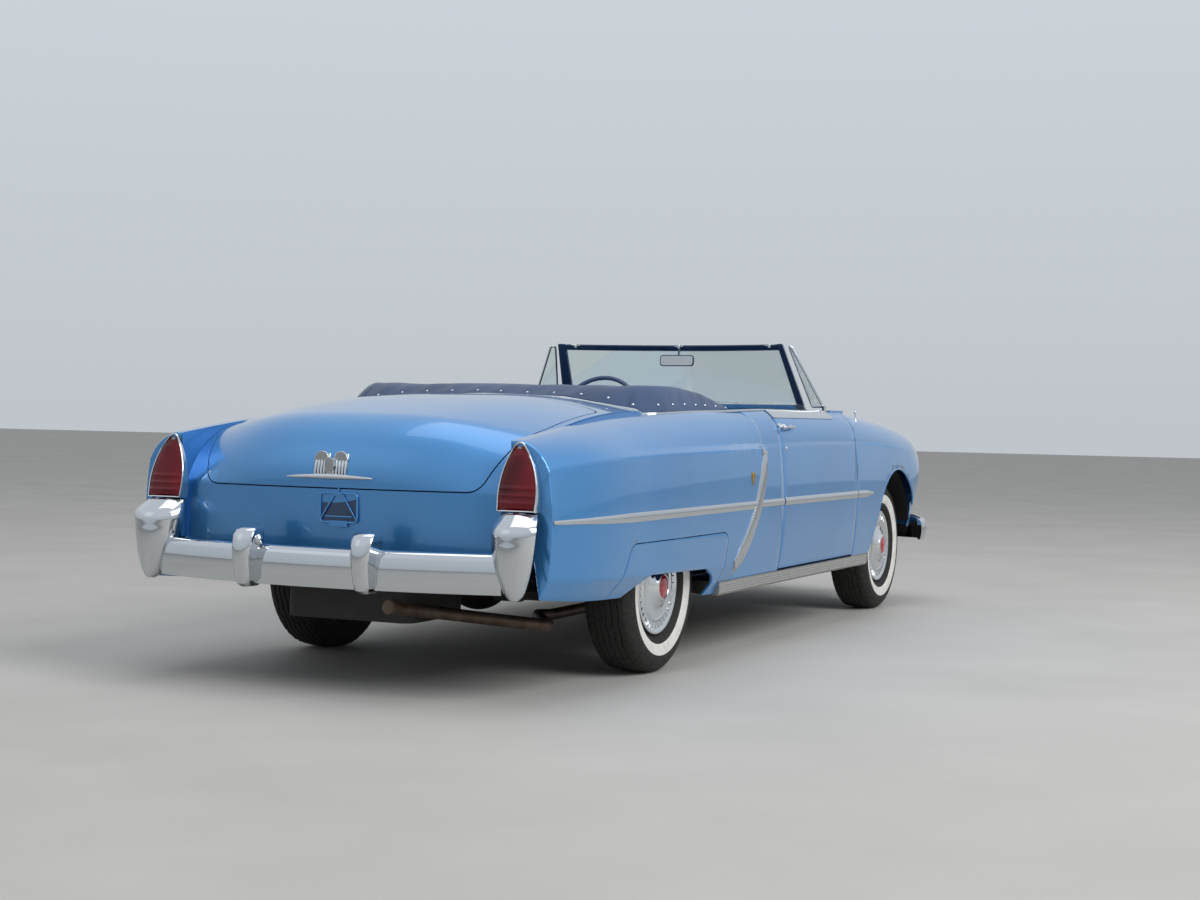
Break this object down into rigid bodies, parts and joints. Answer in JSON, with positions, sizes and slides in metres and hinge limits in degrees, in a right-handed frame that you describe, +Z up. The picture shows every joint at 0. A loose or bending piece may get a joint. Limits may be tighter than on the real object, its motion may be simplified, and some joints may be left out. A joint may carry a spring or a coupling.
{
  "type": "1950s convertible car",
  "caption": "Full-size two-door convertible with opening doors, hood and trunk lid, steered front wheels and four rolling wheels.",
  "frame": {"origin": "on the ground, at the middle of the overall length and width", "axes": "+Z up, nose towards -Y, the car's left side towards +X"},
  "size_m": [1.9822, 5.4381, 1.4358],
  "materials": {
    "body_paint": "metallic light blue gloss",
    "dash_paint": "blue gloss",
    "chrome": "polished",
    "wheel_chrome": "polished",
    "sill_steel": "polished, fine ribs",
    "glass": "light green tint",
    "lamp_glass": "clear, fluted",
    "red_lens": "ruby red",
    "tyre": "black with white side band",
    "vinyl": "pleated blue",
    "boot_vinyl": "blue coated cloth",
    "wheel_rim_plastic": "blue hard rubber",
    "chassis_black": "satin black",
    "cast_iron": "dull",
    "radiator_black": "matt black",
    "exhaust_steel": "weathered"
  },
  "bodies": {
    "root": {"chassis_frame": "chassis_black", "floor_pan": "chassis_black", "cowl": "body_paint", "dashboard": "dash_paint", "windshield_frame": "chrome", "windshield_glass": "glass", "nose_panel": "body_paint", "grille": "chrome", "front_bumper": "chrome", "rear_bumper": "chrome", "headlamps": "lamp_glass", "tail_lamps": "red_lens", "tail_bezels": "chrome", "rear_deck": "body_paint", "front_seat": "vinyl", "rear_seat": "vinyl", "steering_column": "dash_paint", "top_boot": "boot_vinyl", "front_suspension": "chassis_black", "rear_axle": "cast_iron", "engine_block": "cast_iron", "radiator": "radiator_black", "fuel_tank": "chassis_black", "exhaust": "exhaust_steel", "skirts": "body_paint", "sills": "sill_steel", "front_fender_left": "body_paint", "front_fender_right": "body_paint", "quarter_left": "body_paint", "quarter_right": "body_paint"},
    "hood": {"hood": "body_paint"},
    "trunk_lid": {"trunk_lid": "body_paint"},
    "steering_wheel": {"steering_wheel": "wheel_rim_plastic"},
    "door_left": {"door_left": "body_paint", "vent_window_left": "glass"},
    "knuckle_left": {"knuckle_left": "cast_iron"},
    "wheel_front_left": {"tyre_front_left": "tyre", "wheel_front_left": "wheel_chrome"},
    "wheel_rear_left": {"tyre_rear_left": "tyre", "wheel_rear_left": "wheel_chrome"},
    "door_right": {"door_right": "body_paint", "vent_window_right": "glass"},
    "knuckle_right": {"knuckle_right": "cast_iron"},
    "wheel_front_right": {"tyre_front_right": "tyre", "wheel_front_right": "wheel_chrome"},
    "wheel_rear_right": {"tyre_rear_right": "tyre", "wheel_rear_right": "wheel_chrome"}
  },
  "joints": [
    {"name": "door_left_hinge", "type": "hinge", "parent": "root", "child": "door_left", "pos_m": [0.958, -0.975, 0.7], "axis": [0, 0, -1], "range_deg": [0, 65]},
    {"name": "door_right_hinge", "type": "hinge", "parent": "root", "child": "door_right", "pos_m": [-0.958, -0.975, 0.7], "axis": [0, 0, 1], "range_deg": [0, 65]},
    {"name": "hood_hinge", "type": "hinge", "parent": "root", "child": "hood", "pos_m": [0, -1.1355, 1.131], "axis": [-1, 0, 0], "range_deg": [0, 50]},
    {"name": "trunk_hinge", "type": "hinge", "parent": "root", "child": "trunk_lid", "pos_m": [0, 1.56, 1.132], "axis": [1, 0, 0], "range_deg": [0, 60]},
    {"name": "steering_turn", "type": "hinge", "parent": "root", "child": "steering_wheel", "pos_m": [0.345, -0.56, 1.05], "axis": [0, 0.9135, 0.4067], "range_deg": [-450, 450]},
    {"name": "steer_left", "type": "hinge", "parent": "root", "child": "knuckle_left", "pos_m": [0.66, -1.784, 0.355], "axis": [0, 0, 1], "range_deg": [-30, 30]},
    {"name": "spin_front_left", "type": "hinge", "parent": "knuckle_left", "child": "wheel_front_left", "pos_m": [0.755, -1.784, 0.355], "axis": [1, 0, 0], "continuous": true},
    {"name": "spin_rear_left", "type": "hinge", "parent": "root", "child": "wheel_rear_left", "pos_m": [0.755, 1.34, 0.355], "axis": [1, 0, 0], "continuous": true},
    {"name": "steer_right", "type": "hinge", "parent": "root", "child": "knuckle_right", "pos_m": [-0.66, -1.784, 0.355], "axis": [0, 0, 1], "range_deg": [-30, 30]},
    {"name": "spin_front_right", "type": "hinge", "parent": "knuckle_right", "child": "wheel_front_right", "pos_m": [-0.755, -1.784, 0.355], "axis": [1, 0, 0], "continuous": true},
    {"name": "spin_rear_right", "type": "hinge", "parent": "root", "child": "wheel_rear_right", "pos_m": [-0.755, 1.34, 0.355], "axis": [1, 0, 0], "continuous": true}
  ],
  "couplings": [
    {"joint": "steer_left", "follows": "steering_turn", "ratio": 0.066667},
    {"joint": "steer_right", "follows": "steering_turn", "ratio": 0.066667}
  ]
}
